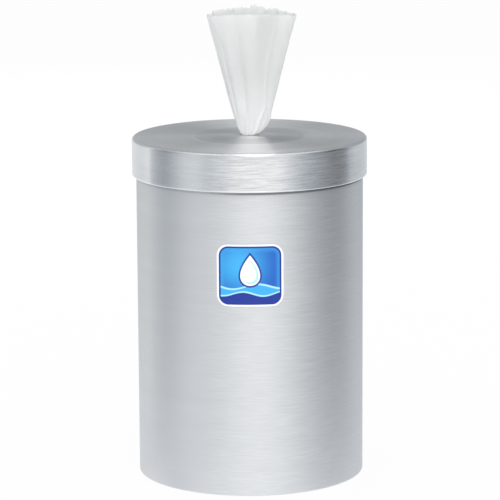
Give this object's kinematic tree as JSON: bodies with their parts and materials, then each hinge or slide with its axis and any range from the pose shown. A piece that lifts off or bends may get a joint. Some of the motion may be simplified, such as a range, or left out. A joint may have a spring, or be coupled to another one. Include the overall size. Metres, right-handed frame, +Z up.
{
  "type": "wet wipes dispenser",
  "caption": "Cylindrical brushed steel canister that hands out wet wipes through the middle of its slip-over lid.",
  "frame": {"origin": "centre of the base, on the surface that the canister stands on", "axes": "+Z up along the canister's axis, -Y towards the front, where the label is, +X to the right seen from the front"},
  "size_m": [0.21, 0.21, 0.4191],
  "materials": {
    "brushed_metal": "satin",
    "plain_metal": "satin",
    "foot_rubber": "matte",
    "gasket_foam": "matte",
    "nozzle_rubber": "matte",
    "wipe_cloth": "matte",
    "label_film": "gloss"
  },
  "bodies": {
    "canister": {"body_shell": "brushed_metal", "base_plate": "plain_metal", "rubber_foot_1": "foot_rubber", "rubber_foot_2": "foot_rubber", "rubber_foot_3": "foot_rubber", "rubber_foot_4": "foot_rubber", "wipes_roll": "wipe_cloth", "front_label": "label_film"},
    "lid": {"lid_shell": "brushed_metal", "lid_gasket": "gasket_foam", "nozzle": "nozzle_rubber", "nozzle_clip": "plain_metal"},
    "wipe": {"wipe_sheet": "wipe_cloth"}
  },
  "joints": [
    {"name": "lid_lift", "type": "slide", "parent": "canister", "child": "lid", "axis": [0, 0, 1], "range_m": [0, 0.12]},
    {"name": "wipe_pull", "type": "slide", "parent": "lid", "child": "wipe", "axis": [0, 0, 1], "range_m": [0, 0.06]}
  ]
}
